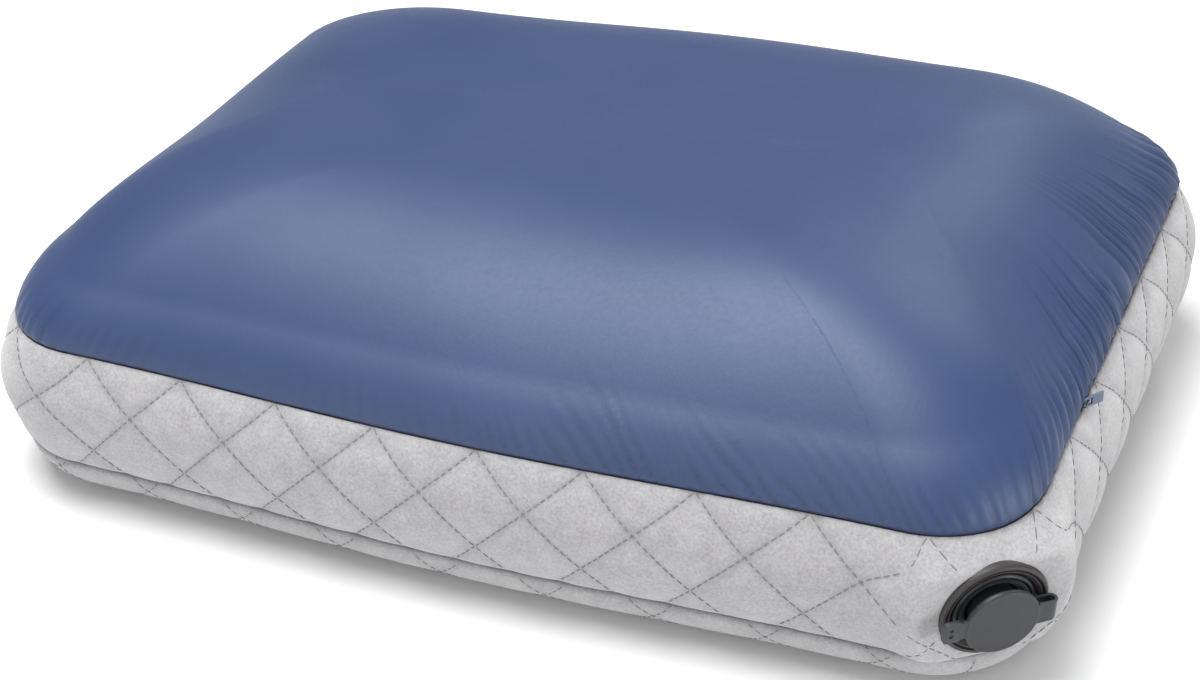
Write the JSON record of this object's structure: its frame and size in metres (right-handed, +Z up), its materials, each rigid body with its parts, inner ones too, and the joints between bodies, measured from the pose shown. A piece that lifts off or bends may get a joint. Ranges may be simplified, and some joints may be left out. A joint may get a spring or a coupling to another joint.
{
  "type": "inflatable camp pillow",
  "caption": "Inflatable camp pillow: puffed smooth top, diamond-quilted side band and underside, zipped side seam, and a capped flat valve on a strap at one corner.",
  "frame": {"origin": "centre of the flat underside, on the surface that the pillow lies on", "axes": "+X along the long side, towards the zip; -Y is the front, with the valve at its right-hand corner; +Z up"},
  "size_m": [0.432, 0.3331, 0.13],
  "materials": {
    "blue_nylon": "smooth woven nylon with a soft sheen",
    "grey_quilt": "melange brushed microfibre, diamond quilted with dark thread",
    "white_wadding": "loose fibre wadding",
    "cell_film": "coated film, welded",
    "taupe_plastic": "moulded, satin",
    "slate_rubber": "moulded soft plastic, satin",
    "flap_silicone": "thin moulded silicone",
    "zip_tape": "woven tape",
    "zip_coil": "coiled nylon",
    "zip_metal": "painted die-cast metal",
    "pull_plastic": "moulded"
  },
  "bodies": {
    "pillow": {"top_panel": "blue_nylon", "side_band": "grey_quilt", "bottom_panel": "grey_quilt", "top_padding": "white_wadding", "upper_cell_sheet": "cell_film", "lower_cell_sheet": "cell_film", "left_web": "cell_film", "middle_web": "cell_film", "right_web": "cell_film", "port_ring": "taupe_plastic", "valve_base": "slate_rubber", "flap_pin": "slate_rubber", "strap_ring": "slate_rubber", "upper_tape": "zip_tape", "lower_tape": "zip_tape", "upper_coil": "zip_coil", "lower_coil": "zip_coil", "front_stop": "zip_metal", "back_stop": "zip_metal"},
    "cap": {"valve_cap": "slate_rubber", "cap_strap": "slate_rubber"},
    "flap": {"valve_flap": "flap_silicone"},
    "slider": {"zip_slider": "zip_metal"},
    "pull": {"zip_pull": "pull_plastic"}
  },
  "joints": [
    {"name": "cap_hinge", "type": "hinge", "parent": "pillow", "child": "cap", "pos_m": [0.2141, -0.13982, 0.04338], "axis": [0.0895, -0.1066, 0.9903], "range_deg": [0, 150], "deforming": ["cap_strap"]},
    {"name": "flap_lift", "type": "slide", "parent": "pillow", "child": "flap", "axis": [-0.6365, 0.7586, 0.1392], "range_m": [0, 0.0015], "stiffness_N_per_m": 30},
    {"name": "zip_slide", "type": "slide", "parent": "pillow", "child": "slider", "axis": [0, 1, 0], "range_m": [0, 0.161]},
    {"name": "pull_hinge", "type": "hinge", "parent": "slider", "child": "pull", "pos_m": [0.2054, -0.0597, 0.075], "axis": [0, 0, 1], "range_deg": [-125, 15]}
  ]
}
